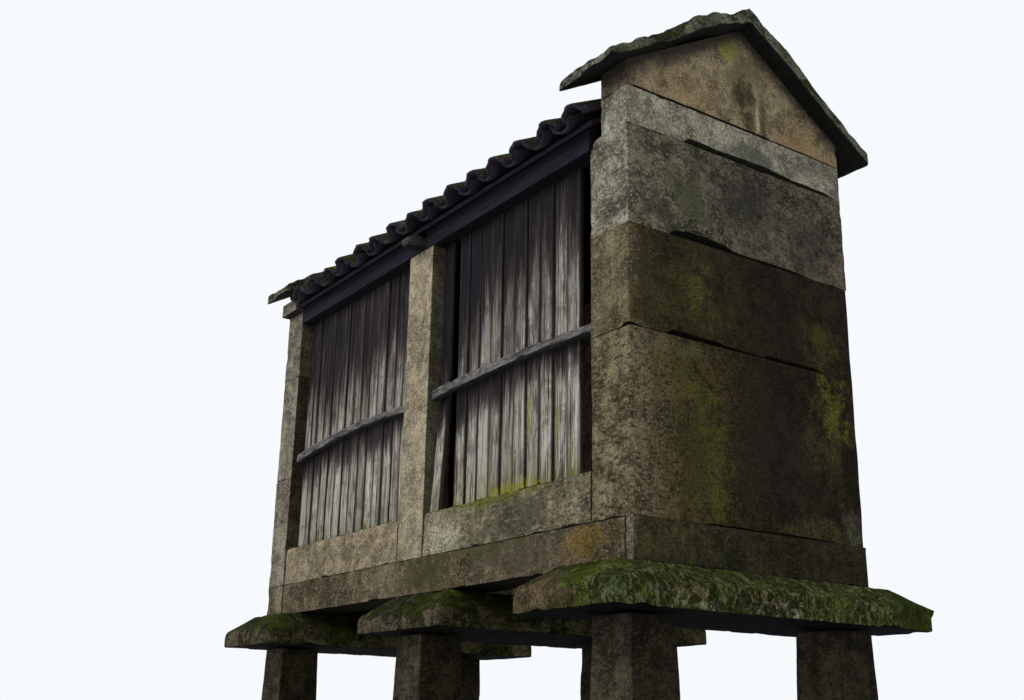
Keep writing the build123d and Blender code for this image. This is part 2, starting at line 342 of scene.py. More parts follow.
class Shade(Nodes):
    """A node material under construction, with short calls for the nodes used here."""

    def __init__(self, name, roughness=0.9, gloss=0.15):
        self.material = bpy.data.materials.new(name)
        self.material.use_nodes = True
        super().__init__(self.material.node_tree)
        self.surface = self.tree.nodes["Principled BSDF"]
        self.feed(self.surface, {"Roughness": roughness, "Specular IOR Level": gloss})
        self.place = self.node("ShaderNodeTexCoord").outputs["Object"]
        self.normal = self.node("ShaderNodeNewGeometry").outputs["Normal"]

    def math(self, operation, a, b=0.0):
        return self.node("ShaderNodeMath", {0: a, 1: b}, operation=operation).outputs[0]

    def times(self, a, b):
        return self.math("MULTIPLY", a, b)

    def plus(self, a, b):
        return self.math("ADD", a, b)

    def total(self, *terms):
        """The sum of values, each times its share."""
        value = self.times(*terms[0])
        for term in terms[1:]:
            value = self.plus(value, self.times(*term))
        return value

    def wander(self, *terms):
        """The sum of noises taken about their middle, each times its share, to make a limit uneven."""
        return self.total(*((self.math("SUBTRACT", value, 0.5), share) for value, share in terms))

    def vector(self, operation, a, b=(0, 0, 0)):
        made = self.node("ShaderNodeVectorMath", {0: a, 1: b}, operation=operation)
        return made.outputs["Value" if operation == "LENGTH" else "Vector"]

    def noise(self, scale, detail=4, roughness=0.6, distortion=0.0, at=None):
        """Noise, stretched where scale is a number for each axis."""
        at = at or self.place
        if isinstance(scale, tuple):
            at, scale = self.vector("MULTIPLY", at, scale), 1.0
        made = self.node("ShaderNodeTexNoise", {
            "Vector": at, "Scale": scale, "Detail": detail, "Roughness": roughness, "Distortion": distortion})
        return made.outputs["Fac"]

    def crystals(self, scale, at):
        """A random number for each crystal-like cell."""
        made = self.node("ShaderNodeTexVoronoi", {"Vector": at, "Scale": scale})
        return self.part(made.outputs["Color"], 0)

    def rise(self, value, low, high, to_low=0.0, to_high=1.0):
        """A smooth rise of value from low to high, mapped to the given limits."""
        feeds = {"Value": value, "From Min": low, "From Max": high, "To Min": to_low, "To Max": to_high}
        return self.node("ShaderNodeMapRange", feeds, interpolation_type="SMOOTHSTEP").outputs["Result"]

    def mix(self, factor, a, b, blend="MIX"):
        a, b = (end if isinstance(end, bpy.types.NodeSocket) else (*end, 1) for end in (a, b))
        made = self.node("ShaderNodeMix", {0: factor, 6: a, 7: b}, data_type="RGBA", blend_type=blend)
        return made.outputs[2]

    def tinted(self, colour, by):
        return self.mix(1.0, colour, by, "MULTIPLY")

    def layers(self, colour, *rows):
        """Colours laid over another in turn; each row is (value, low, high, share, colour)."""
        for value, low, high, share, tint in rows:
            colour = self.mix(self.rise(value, low, high, 0, share), colour, tint)
        return colour

    def moss(self, light, fluff, tips):
        """The colour of moss, with yellow tips."""
        green = self.mix(light, MOSS_DARK, MOSS_GREEN)
        return self.mix(self.times(tips, self.rise(fluff, 0.4, 0.6)), green, MOSS_YELLOW)

    def grey(self, value):
        """A grey colour, or a vector of three equal parts, from one number."""
        return self.node("ShaderNodeCombineXYZ", {0: value, 1: value, 2: value}).outputs[0]

    def part(self, vector, axis):
        return self.node("ShaderNodeSeparateXYZ", {0: vector}).outputs[axis]

    def mark(self, name):
        return self.node("ShaderNodeAttribute", attribute_name=name).outputs["Fac"]

    def patch(self, centre, size, ragged=0.5, grain=14):
        """A soft ragged patch: 1 at centre, 0 about size metres away along each axis."""
        away = self.vector("SUBTRACT", self.place, centre)
        reach = self.vector("LENGTH", self.vector("MULTIPLY", away, tuple(1 / s for s in size)))
        return self.rise(self.plus(reach, self.wander((self.noise(grain, 5, 0.7), ragged * 5))), 1.0, 0.25)

    def done(self, colour, *relief):
        """The finished material; relief is rows of (height, depth in metres)."""
        below = {}
        for height, depth in relief:
            bump = self.node("ShaderNodeBump", {"Height": height, "Distance": depth, **below})
            below = {"Normal": bump.outputs["Normal"]}
        self.feed(self.surface, {"Base Color": colour, **below})
        return self.material


def scaled(colour, share):
    """A colour made lighter or darker."""
    return tuple(min(share * c, 0.9) for c in colour)


MOSS_DARK = (0.018, 0.024, 0.006)
MOSS_GREEN = (0.085, 0.115, 0.016)
MOSS_YELLOW = (0.2, 0.22, 0.026)
CRUST = (0.36, 0.37, 0.3)


def granite(kind, light, dark, gable, moss, lichen, streaks, tooling, patches=(), damp_and_shade=None, fade=0.0,
            bare=None, finish=None, gloss=0.15):
    """Weathered granite: crystals, mottling, tool marks, rain streaks, lichen and moss.

    light and dark are the colours of clean and stained stone. Faces across the granary are multiplied
    by gable, which darkens them for algae and dampness and as painted shade of that side; where a
    multiplier for dampness and painted shade is given, they are multiplied by a mix from gable on the
    left to it on the right, which sets in over the distance fade from the left arris. Tool marks are
    painted darker in their pits and lighter on their ridges, as painted shade and highlight, and faces
    turned down are painted near black as shade. Each patch is (centre, size, colour, strength,
    raggedness). bare is the (centre, size) of a place without moss. finish is a last change to the
    colour.
    """
    s = Shade(f"granite_{kind}", roughness=0.92, gloss=gloss)
    shift = sum(ord(c) for c in s.material.name) * 0.37
    at = s.vector("ADD", s.place, (shift, shift * 0.7, shift * 1.3))
    soft = s.noise(3.4, 9, 0.64, 0.6, at)
    middle = s.noise(11, 8, 0.74, 0.4, at)
    grain = s.noise(105, 4, 0.8, 0, at)
    crystal = s.crystals(150, at)
    marks = s.noise((30, 30, 66), 4, 0.65, 0.3, at)
    colour = s.mix(s.rise(s.total((soft, 0.6), (middle, 0.4)), 0.42, 0.58), dark, light)
    shade = s.times(s.rise(middle, 0.34, 0.66, 0.62, 1.3), s.rise(grain, 0.3, 0.7, 0.62, 1.4))
    colour = s.layers(
        s.tinted(colour, s.grey(shade)),
        (crystal, 0.82, 0.9, 0.65, scaled(dark, 0.3)),
        (crystal, 0.14, 0.06, 0.6, scaled(light, 1.7)),
        # Tool marks: darker in their pits and lighter on their ridges, painted shade and highlight over their
        # bumps.
        (marks, 0.47, 0.36, 0.85 * tooling, scaled(dark, 0.3)),
        (marks, 0.55, 0.66, 0.65 * tooling, scaled(light, 1.35)),
        (s.noise((12, 12, 1.0), 6, 0.7, 0.2, at), 0.5, 0.7, streaks, scaled(dark, 0.45)),
        (s.noise(24, 5, 0.7, 0.8, at), 0.6, 0.67, lichen, CRUST),
    )
    # Faces across the granary are multiplied by gable: darker for algae and dampness, and painted shade of
    # that side.
    front = s.rise(s.plus(s.math("ABSOLUTE", s.part(s.normal, 0)), s.wander((soft, 0.8))), 0.4, 0.8)
    # A second multiplier darkens these faces towards the right, for dampness and as painted shade of what
    # stands before the gable; the first stretch past the left arris keeps its light colour.
    if damp_and_shade:
        across = s.plus(s.part(s.place, 1), s.wander((soft, 0.8), (middle, 0.4)))
        gable = s.mix(s.rise(across, -0.5, 0.2), gable, damp_and_shade)
        front = s.times(front, s.rise(across, LEFT_FACE - 0.06, LEFT_FACE + fade))
    colour = s.mix(front, colour, s.tinted(colour, gable))
    speckle = s.grey(s.rise(grain, 0.3, 0.7, 0.25, 1.75))
    broken = s.total((middle, 0.55), (grain, 0.45))
    for centre, size, tint, strength, ragged in patches:
        spread = s.times(s.patch(centre, size, ragged), s.rise(broken, 0.42, 0.57, 0.22 * strength, strength))
        colour = s.mix(spread, colour, s.tinted(tint, speckle))
    upward = s.part(s.normal, 2)
    # Faces turned down are painted near black: painted shade under ledges and slabs.
    colour = s.layers(colour, (upward, -0.16, -0.55, 0.97, scaled(dark, 0.07)))
    cover = s.plus(s.noise(5.0, 10, 0.72, 0.4, at), s.times(upward, 0.13))
    mossy = s.times(s.rise(cover, 0.73 - moss * 0.42, 0.8 - moss * 0.42), s.rise(upward, -0.75, -0.35))
    if bare:
        mossy = s.times(mossy, s.math("SUBTRACT", 1.0, s.patch(*bare)))
    fluff = s.noise(75, 5, 0.85, 0, at)
    tufts = s.noise(26, 4, 0.7, 0, at)
    tips = s.rise(s.noise(8, 4, 0.6, 0, at), 0.5, 0.64)
    lit = s.rise(s.total((fluff, 0.6), (tufts, 0.4)), 0.38, 0.62)
    colour = s.mix(mossy, colour, s.moss(lit, fluff, tips))
    if finish:
        colour = finish(s, colour)
    return s.done(colour, (s.total((grain, 0.3), (middle, 0.9)), 0.009), (marks, 0.014 * tooling),
                  (s.times(s.plus(fluff, tufts), mossy), 0.022))


def weathered_board():
    """Silver-grey boards, dark and reddish where the eave and the rail keep the rain off, and near-black
    under them, the silver dimmed above the rail and the board edges darkened, as painted shade.
    """
    s = Shade("weathered_board", roughness=0.85)
    board = s.mark("board")
    apart = s.vector("ADD", s.place, s.grey(s.times(board, 9.0)))
    fibre = s.noise((85, 85, 3.4), 8, 0.78, 0, apart)
    drips = s.noise((44, 44, 6.0), 5, 0.7, 0, apart)
    band = s.noise((24, 24, 1.0), 4, 0.6, 0, apart)
    cracks = s.noise((130, 130, 2.4), 3, 0.5, 0, apart)
    blotch = s.noise(6, 8, 0.72, 0.6, apart)
    height = s.part(s.place, 2)
    silver = s.layers(
        s.mix(s.rise(fibre, 0.36, 0.62), (0.15, 0.132, 0.104), (0.74, 0.7, 0.6)),
        (band, 0.5, 0.68, 0.75, (0.165, 0.142, 0.112)),
        (drips, 0.54, 0.63, 0.85, (0.08, 0.064, 0.052)),
        (board, 0.6, 0.9, 0.6, (0.23, 0.2, 0.165)),
        (board, 0.3, 0.1, 0.35, (0.64, 0.61, 0.54)),
        (blotch, 0.5, 0.64, 0.65, (0.125, 0.103, 0.08)),
        (blotch, 0.42, 0.3, 0.45, (0.34, 0.345, 0.22)),
    )
    # The silver is dimmed to purple-grey above the rail: painted shade of the eave.
    silver = s.tinted(silver, s.mix(s.rise(height, 1.9, 2.15), (1, 1, 1), (0.72, 0.68, 0.71)))
    brown = s.mix(s.rise(fibre, 0.35, 0.68), (0.026, 0.02, 0.02), (0.098, 0.076, 0.071))
    brown = s.layers(brown, (band, 0.45, 0.6, 0.6, (0.052, 0.031, 0.028)))
    # Near-black, the dark end of the weather line: painted shade under the eave and the rails.
    black = s.mix(s.rise(fibre, 0.35, 0.68), (0.007, 0.006, 0.009), (0.024, 0.02, 0.027))
    bleach = s.plus(s.mark("bleach"), s.wander((fibre, 3.4), (band, 4.5), (drips, 5.0)))
    rim = s.plus(s.math("ABSOLUTE", s.mark("edge")), s.wander((band, 0.7)))
    colour = s.layers(
        s.mix(s.rise(bleach, -1.9, -0.2), black, brown),
        (bleach, -0.7, 1.5, 1, silver),
        # Each board is darker near its edges: painted shade at the gaps between the boards.
        (rim, 0.7, 0.96, 0.85, (0.036, 0.029, 0.026)),
        (cracks, 0.4, 0.33, 0.9, (0.012, 0.01, 0.009)),
    )
    low_end = s.rise(s.plus(height, s.wander((band, 0.5))), 1.5, 1.36)
    near_bay = s.rise(s.part(s.place, 0), -0.1, 0.3, 0.3, 0.8)
    colour = s.mix(s.times(low_end, near_bay), colour, s.tinted(colour, (0.8, 0.82, 0.6)))
    foot = s.plus(height, s.times(s.noise(9, 5, 0.7), 0.34))
    growth = s.mix(s.rise(s.noise(60, 3), 0.4, 0.6), (0.085, 0.085, 0.03), (0.32, 0.3, 0.035))
    colour = s.layers(colour, (foot, 1.51, 1.46, 0.8, growth))
    yellow = s.patch((0.8, -0.63, 1.335), (0.28, 0.12, 0.038), 0.9, 40)
    colour = s.mix(s.times(yellow, 0.75), colour, (0.36, 0.31, 0.015))
    wet = s.times(s.rise(s.noise((14, 14, 1.5)), 0.58, 0.72, 0, 0.55), s.rise(bleach, 0, 1))
    colour = s.mix(wet, colour, (0.2, 0.205, 0.075))
    for centre in ((0.92, -0.63, 1.66), (1.14, -0.63, 1.57)):
        stain = s.times(s.patch(centre, (0.03, 0.1, 0.16), 0.5, 30), 0.65)
        colour = s.mix(stain, colour, (0.27, 0.29, 0.075))
    return s.done(colour, (s.math("SUBTRACT", s.times(fibre, 1.3), s.rise(cracks, 0.42, 0.32)), 0.005))


def old_timber(name, light, dark, lichen=0.0, along=(4, 80, 80)):
    """Dark rough timber, with the fibres along the direction whose scale is small."""
    s = Shade(name, roughness=0.88)
    fibre = s.noise(along, 7, 0.75)
    spots = s.noise(34, 5, 0.75, 0.5)
    colour = s.layers(
        s.mix(s.rise(fibre, 0.34, 0.66), dark, light),
        (s.noise(12, 6, 0.7, 0.4), 0.5, 0.64, 0.6, dark),
        (spots, 0.57, 0.64, lichen, (0.36, 0.36, 0.31)),
        (s.noise(55, 4, 0.7), 0.58, 0.66, lichen, scaled(dark, 0.4)),
        # Faces turned down are darkened: painted shade.
        (s.part(s.normal, 2), -0.1, -0.6, 0.9, scaled(dark, 0.3)),
    )
    return s.done(colour, (s.plus(fibre, s.times(spots, 0.6)), 0.006))


def roof_tile():
    """Old fired clay, blackened, with lichen and moss on what faces the sky, and painted shade below."""
    s = Shade("roof_tile", roughness=0.93)
    upward = s.part(s.normal, 2)
    colour = s.layers(
        s.mix(s.rise(s.mark("tile"), 0.2, 0.9), (0.045, 0.031, 0.023), (0.15, 0.082, 0.05)),
        (s.noise(9, 8, 0.72, 0.4), 0.36, 0.56, 0.94, (0.018, 0.016, 0.016)),
        (s.noise(30, 5, 0.65, 0.6), 0.57, 0.64, 0.7, (0.22, 0.23, 0.18)),
        # Faces turned down are painted purple-black: painted shade under the tiles.
        (upward, 0.25, -0.2, 0.93, (0.034, 0.028, 0.041)),
    )
    eaves = s.rise(s.math("ABSOLUTE", s.part(s.place, 1)), 0.66, 0.8, 0, 0.1)
    cover = s.plus(s.noise(7, 9, 0.75, 0.3), s.plus(s.times(upward, 0.2), eaves))
    mossy = s.times(s.rise(cover, 0.62, 0.71), s.rise(upward, -0.05, 0.35))
    fluff = s.noise(95, 5, 0.85)
    green = s.moss(s.rise(fluff, 0.35, 0.66), fluff, s.rise(s.noise(6), 0.52, 0.66))
    return s.done(s.mix(mossy, colour, green), (s.noise(45, 6, 0.75), 0.006), (s.times(fluff, mossy), 0.02))


# Stone pieces

TAN = (0.42, 0.37, 0.275)
TAN_DARK = (0.2, 0.17, 0.12)


def lay(node, look, seed, **sizes):
    """Replace a CAD node that is one block by one worn stone."""
    low, high = box_of(node)
    piece = stone(f"{node}_worn", low, high, look, seed, **sizes)
    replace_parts(piece, node)


def on_gable(face, rows):
    """Patches on a gable; each row is (y, z, half width, half height, colour, strength, raggedness)."""
    return [((face, y, z), (GABLE_PATCH_DEPTH, wide, tall), *rest) for y, z, wide, tall, *rest in rows]


def on_side(rows):
    """Patches on the left side; each row is (x, z, half width, half height, colour, strength, raggedness)."""
    return [((x, PATCH_SIDE, z), (wide, SIDE_PATCH_DEPTH, tall), *rest) for x, z, wide, tall, *rest in rows]


def raised(points, low, high, top):
    """A block with its top moved to the height top, and all below it in proportion."""
    share = (points[:, 2] - low[2]) / (high[2] - low[2])
    return np.column_stack([points[:, :2], low[2] + share * (top - low[2])])


def wedge_gaps(low, high, gaps):
    """Wears the lower front arris of a stone back into dark wedges; each gap is (y from, y to, height)."""
    def shape(points):
        bent = points.copy()
        y = points[:, 1]
        front = smooth_step(high[0] - 0.09, high[0] - 0.02, points[:, 0])
        near_foot = 1 - smooth_step(0.0, 0.05, points[:, 2] - low[2])
        lift = np.zeros(len(points))
        for y0, y1, height in gaps:
            uneven = 0.55 + 0.75 * rough_noise(np.column_stack([y, y * 0, y * 0 + height * 90]), 0.14, 3, 3)
            within = smooth_step(y0, y0 + 0.04, y) * (1 - smooth_step(y1 - 0.12, y1, y))
            lift = np.maximum(lift, height * uneven * within)
        bent[:, 2] += lift * front * near_foot
        return bent
    return shape


def lost_corner(low, high, reach, after):
    """Rounds off the upper inner edge of a stone, after its other shape."""
    def shape(points):
        bent = after(points)
        centre = np.array([low[0] + reach, high[2] - reach])
        out = bent[:, [0, 2]] - centre
        corner = (out[:, 0] < 0) & (out[:, 1] > 0)
        bent[:, [0, 2]] = np.where(corner[:, None], centre + rounded(out), bent[:, [0, 2]])
        return bent
    return shape


OLIVE = (0.052, 0.05, 0.012)
MOSSY = (0.1, 0.1, 0.015)

# The stones of the near gable, from the foot up: what granite takes, the multiplier for dampness and painted
# shade on the right and the distance over which it sets in, the rounding of the arrises at the face, the open
# joint at the foot as (y from, y to, height), and the patches
NEAR_STONES = {
    1: {
        "stone": ((0.262, 0.212, 0.122), (0.105, 0.082, 0.043), (0.42, 0.37, 0.21), 0.12, 0.12, 0.5, 1.0),
        "damp_and_shade": (0.1, 0.08, 0.05), "fade": 0.34, "corner": 0.035,
        "gaps": [(-0.3, 0.52, 0.007)],
        "patches": [
            (0.08, 1.45, 0.5, 0.4, (0.024, 0.018, 0.011), 0.8, 0.6),
            (0.36, 1.3, 0.22, 0.22, (0.044, 0.024, 0.012), 0.6, 0.6),
            (-0.3, 1.4, 0.26, 0.5, OLIVE, 0.9, 0.7),
            (-0.25, 1.34, 0.1, 0.36, MOSSY, 0.8, 0.9),
            (-0.33, 1.66, 0.15, 0.12, MOSSY, 0.7, 0.9),
            (0.52, 1.62, 0.2, 0.34, OLIVE, 1.0, 0.7),
            (0.55, 1.7, 0.1, 0.17, (0.118, 0.124, 0.014), 0.9, 0.9),
            (0.42, 1.1, 0.34, 0.1, (0.08, 0.072, 0.02), 0.8, 0.6),
            (0.63, 1.15, 0.12, 0.12, (0.12, 0.11, 0.07), 0.8, 0.5),
            (-0.45, 1.82, 0.26, 0.04, (0.14, 0.13, 0.07), 0.6, 0.6),
        ],
    },
    2: {
        "stone": ((0.222, 0.18, 0.105), (0.092, 0.075, 0.04), (0.24, 0.225, 0.12), 0.08, 0.06, 0.4, 0.6),
        "damp_and_shade": (0.14, 0.105, 0.078), "fade": 0.14, "corner": 0.03,
        "gaps": [(-0.76, -0.63, 0.02), (-0.5, -0.1, 0.027), (-0.22, 0.12, 0.011), (0.08, 0.52, 0.018)],
        "patches": [
            (-0.34, 2.08, 0.28, 0.26, (0.05, 0.047, 0.012), 0.9, 0.7),
            (-0.3, 2.1, 0.1, 0.15, (0.088, 0.088, 0.014), 0.8, 0.9),
            (-0.58, 2.12, 0.09, 0.16, (0.05, 0.043, 0.018), 0.8, 0.6),
            (0.48, 2.02, 0.16, 0.18, (0.062, 0.062, 0.01), 0.8, 0.7),
        ],
    },
    3: {
        "stone": ((0.37, 0.335, 0.243), (0.125, 0.111, 0.079), (0.56, 0.56, 0.5), 0.0, 0.45, 0.5, 0.8),
        "damp_and_shade": (0.38, 0.35, 0.33), "fade": 0.01, "corner": 0.014,
        "gaps": [(-0.47, -0.02, 0.036), (-0.12, 0.45, 0.013)],
        "patches": [
            (-0.34, 2.56, 0.17, 0.2, (0.075, 0.077, 0.03), 0.9, 0.6),
            (0.02, 2.62, 0.24, 0.19, (0.036, 0.032, 0.024), 0.9, 0.6),
            (-0.52, 2.45, 0.12, 0.12, (0.045, 0.04, 0.026), 0.9, 0.7),
            (0.42, 2.52, 0.22, 0.18, (0.052, 0.045, 0.036), 0.6, 0.6),
        ],
    },
    4: {
        "stone": ((0.49, 0.45, 0.35), (0.27, 0.24, 0.175), (0.78, 0.8, 0.75), 0.0, 0.35, 0.25, 0.2),
        "damp_and_shade": (0.66, 0.66, 0.62), "fade": 0.01, "corner": 0.014,
        "gaps": [(-0.37, 0.4, 0.03), (0.2, 0.69, 0.018)],
        "patches": [(0.08, 2.89, 0.2, 0.08, (0.075, 0.075, 0.06), 0.9, 0.5)],
    },
}


def near_gable():
    """The four stones of the near gable, each with its own weathering and open joints."""
    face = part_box("near_gable_stone_1")[1][0]
    for number, own in NEAR_STONES.items():
        name = f"near_gable_stone_{number}"
        patches = on_gable(face, own["patches"])
        look = granite(f"near_{number}", *own["stone"], patches, own["damp_and_shade"], own["fade"])
        low, high = box_of(name)
        shape = wedge_gaps(low, high, own["gaps"])
        if number == 3:
            shape = lost_corner(low, high, LOST_CORNER, shape)
        lay(name, look, SEED + number, corner=own["corner"], shape=shape, round_end=1)


def far_gable():
    """The stones of the far gable, darker and mossier at the foot and pale at the top."""
    faces = {
        1: ((0.24, 0.225, 0.17), 0.2),
        2: ((0.27, 0.235, 0.18), 0.14),
        3: ((0.4, 0.39, 0.35), 0.1),
        4: ((0.66, 0.67, 0.62), 0.06),
    }
    light, dark = scaled(TAN, 0.72), scaled(TAN_DARK, 0.72)
    for number, (face, moss) in faces.items():
        look = granite(f"far_{number}", light, dark, face, moss, 0.2, 0.5, 0.5)
        lay(f"far_gable_stone_{number}", look, SEED + 30 + number, edge=0.007)


def pediment(place, look, seed, gaps=()):
    """The pointed stone on a gable: a block bent up to its peak."""
    name = f"pediment_{place}"
    low, high = box_of(name)
    co = cad_points(name)
    peak_y = level(co, 2, high[2])[:, 1].mean()
    shoulder = level(co, 1, low[1])[:, 2].max()
    open_joint = wedge_gaps(low, high, gaps)

    def shape(points):
        y = points[:, 1]
        rise = np.minimum((y - low[1]) / (peak_y - low[1]), (high[1] - y) / (high[1] - peak_y))
        top = shoulder + (high[2] - shoulder) * np.clip(rise, 0, 1)
        return open_joint(raised(points, low, high, top))

    lay(name, look, seed, shape=shape)


def coping(name, look, seed, hump):
    """A coping slab over the pediment, arched by hump, with a blunt tip and a rugged back.

    Its block lies flat at first, with its end at the ridge at y = 0. What runs on past the ridge is
    drawn back to it, so that the slabs of a pair meet in one plane.
    """
    low, high = box_of(name)
    side = -1 if abs(low[1]) > abs(high[1]) else 1
    start_y, tip_y = (high[1], low[1]) if side < 0 else (low[1], high[1])
    ridge_z = level(cad_points(name), 1, start_y)[:, 2].min()
    reach = abs(tip_y - RIDGE_Y)
    fall = (ridge_z - low[2]) / reach
    flat_low = np.array([0.0, -COPING_PAST if side > 0 else -reach, 0.0])
    flat_high = np.array([high[0] - low[0], reach if side > 0 else COPING_PAST, high[2] - ridge_z])
    points, faces = box_lattice(flat_low, flat_high, COPING_CELL, COPING_ARRIS, COPING_CORNER)
    points = wear(points, flat_low, flat_high, COPING_ARRIS, HOLLOWS, GRIT, seed, COPING_CORNER)
    along = np.maximum(side * points[:, 1], 0.0)
    points[:, 1] = side * along
    share = along / reach
    thick = 1 - 0.24 * share + hump * (1.1 * np.exp(-((share - 0.34) / 0.15) ** 2) - 0.5)
    thick = 0.97 + (thick - 0.97) * smooth_step(0.0, 0.14, along)
    tufts = 0.34 * (rough_noise(points * (1, 1, 0.3), 0.11, 3, seed + 3) - 0.62)
    tufts += 0.26 * (rough_noise(points * (1, 1, 0.3), 0.045, 2, seed + 4) - 0.5)
    up = points[:, 2] * np.clip(thick + tufts, 0.3, 1.1)
    arch = hump * 0.1 * np.exp(-((share - 0.36) / 0.16) ** 2)
    z = np.minimum(ridge_z - fall * along + arch + up, high[2])
    points = np.column_stack([low[0] + points[:, 0], RIDGE_Y + points[:, 1], z])
    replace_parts(make_object(f"{name}_worn", points, faces, look), name)


def shadow_and_wet_under_coping(s, colour):
    """Darkens a pediment in a band under its copings: painted shadow, with wet stone under them."""
    off_ridge = s.math("ABSOLUTE", s.math("SUBTRACT", s.part(s.place, 1), RIDGE_Y))
    height = s.plus(s.plus(s.part(s.place, 2), s.times(off_ridge, 0.6)), s.times(s.noise(9, 6, 0.7), 0.16))
    # A dark band just under the coping line: painted shadow of the copings, with wet stone.
    return s.layers(colour, (height, PEDIMENT_TOP - 0.06, PEDIMENT_TOP + 0.07, 0.92, (0.026, 0.022, 0.018)))


def gable_tops():
    """Pediments and copings."""
    near_patches = on_gable(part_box("pediment_near")[1][0], [
        (0.0, 3.3, 0.1, 0.3, (0.13, 0.112, 0.05), 0.9, 0.5),
        (-0.055, 3.42, 0.085, 0.13, (0.25, 0.255, 0.04), 1.1, 0.5),
        (0.12, 3.34, 0.18, 0.16, (0.095, 0.078, 0.046), 0.7, 0.5),
        (0.05, 3.19, 0.13, 0.12, (0.04, 0.036, 0.014), 1.2, 0.4),
        (0.07, 3.08, 0.08, 0.12, (0.058, 0.05, 0.024), 1.1, 0.4),
        (0.17, 3.1, 0.035, 0.15, (0.05, 0.043, 0.02), 1.1, 0.3),
        (0.13, 3.1, 0.022, 0.12, (0.46, 0.38, 0.22), 1.1, 0.3),
        (0.45, 3.05, 0.24, 0.15, (0.3, 0.19, 0.08), 0.8, 0.5),
        (-0.35, 3.1, 0.28, 0.16, (0.36, 0.245, 0.12), 0.6, 0.5),
    ])
    near_look = granite("pediment", (0.42, 0.335, 0.21), (0.27, 0.205, 0.125), (0.74, 0.73, 0.68), 0.0, 0.05,
                        0.2, 0.15, near_patches, finish=shadow_and_wet_under_coping)
    far_look = granite("pediment_far", scaled(TAN, 0.7), scaled(TAN_DARK, 0.7), (0.6, 0.58, 0.5), 0.06, 0.3,
                       0.4, 0.3, finish=shadow_and_wet_under_coping)
    look = granite("coping", (0.26, 0.26, 0.195), (0.078, 0.078, 0.052), (0.56, 0.58, 0.48), 0.44, 0.5, 0.3,
                   0.6)
    pediment("near", near_look, SEED + 50, [(-0.68, 0.28, 0.012), (0.1, 0.6, 0.006)])
    pediment("far", far_look, SEED + 51)
    for i, end in enumerate(("near", "far")):
        for side in ("left", "right"):
            hump = 0.22 if (end, side) == ("near", "left") else 0.1
            coping(f"coping_{end}_{side}", look, SEED + 60 + 2 * i, hump)


def taper(co):
    """Draws a block in towards its head, as its CAD solid is."""
    low, high = extent(co)
    centre = (low + high) / 2
    head_low, head_high = extent(level(co, 2, high[2]))
    draw = 1 - (head_high - head_low)[:2] / (high - low)[:2]

    def shape(points):
        t = (points[:, 2:] - low[2]) / (high[2] - low[2])
        plan = centre[:2] + (points[:, :2] - centre[:2]) * (1 - draw * t)
        return np.column_stack([plan, points[:, 2]])
    return shape


def pillars():
    """Six tapered pillars, their stone darkened as painted shade."""
    # The pillars' colours are made very dark, as painted shade of the shade under the guard slabs.
    look = granite("pillar", (0.088, 0.07, 0.042), (0.03, 0.024, 0.014), (0.5, 0.47, 0.38), 0.12, 0.12, 0.5,
                   0.5)
    for p, place in enumerate(("near", "middle", "far")):
        node = f"pillars_{place}"
        replace_node(node, [
            stone(f"pillar_{place}_{i}", *extent(co), look, SEED + 70 + 2 * p + i, edge=0.012, corner=0.022,
                  shape=taper(co))
            for i, co in enumerate(solids(node))
        ])


def guard_slab(place, look, seed, cushion):
    """A guard slab: upright rim, sloped back, and a cushion of moss that swells the slope."""
    name = f"guard_slab_{place}"
    low, high = box_of(name)
    co = cad_points(name)
    head_low, head_high = extent(level(co, 2, high[2]))
    inset = ((high - low) - (head_high - head_low))[:2] / 2
    rim_z = co[(co[:, 2] > low[2] + TOUCH) & (co[:, 2] < high[2] - TOUCH)][:, 2].min()
    centre = (low + high) / 2
    half = (high - low) / 2

    def shape(points):
        t = np.clip((points[:, 2] - rim_z) / (high[2] - rim_z), 0, 1)
        lumps = 0.6 * rough_noise(points, 0.16, 2, seed + 4) + 0.7 * rough_noise(points, 0.06, 2, seed + 8)
        swell = cushion * smooth_step(0.0, 0.18, t) * (1 - 0.7 * t) * (0.2 + 1.2 * lumps)
        ragged = RAGGED_RIM * rough_noise(points, 0.05, 2, seed + 12)
        bent = points.copy()
        for a in (0, 1):
            q = (points[:, a] - centre[a]) / half[a]
            outward = np.sign(q) * smooth_step(0.7, 0.95, np.abs(q))
            drawn_in = centre[a] + (points[:, a] - centre[a]) * (1 - inset[a] / half[a] * t)
            bent[:, a] = np.clip(drawn_in + outward * swell, low[a] + ragged, high[a] - ragged)
        return bent

    lay(name, look, seed, edge=0.008, corner=0.075, hollows=0.01, grit=0.007, shape=shape, bed=1.0)


def overgrown_and_shaded_below(s, colour):
    """Strands of grey-green and straw over the front of the near guard slab; painted shade black below."""
    strands = s.noise((22, 34, 24), 7, 0.8, 1.2)
    front = s.times(s.rise(s.part(s.place, 0), 1.66, 1.8), s.rise(s.part(s.place, 1), 0.8, 0.6))
    straw = s.mix(s.rise(s.noise(7), 0.45, 0.58), (0.31, 0.345, 0.185), (0.45, 0.395, 0.19))
    colour = s.mix(s.times(front, s.rise(strands, 0.5, 0.6, 0, 0.85)), colour, straw)
    colour = s.mix(s.times(front, s.rise(strands, 0.48, 0.4, 0, 0.8)), colour, (0.028, 0.03, 0.013))
    # Faces turned down are painted black: painted shade under the slab.
    return s.layers(colour, (s.part(s.normal, 2), -0.16, -0.55, 1, (0.003, 0.003, 0.003)))


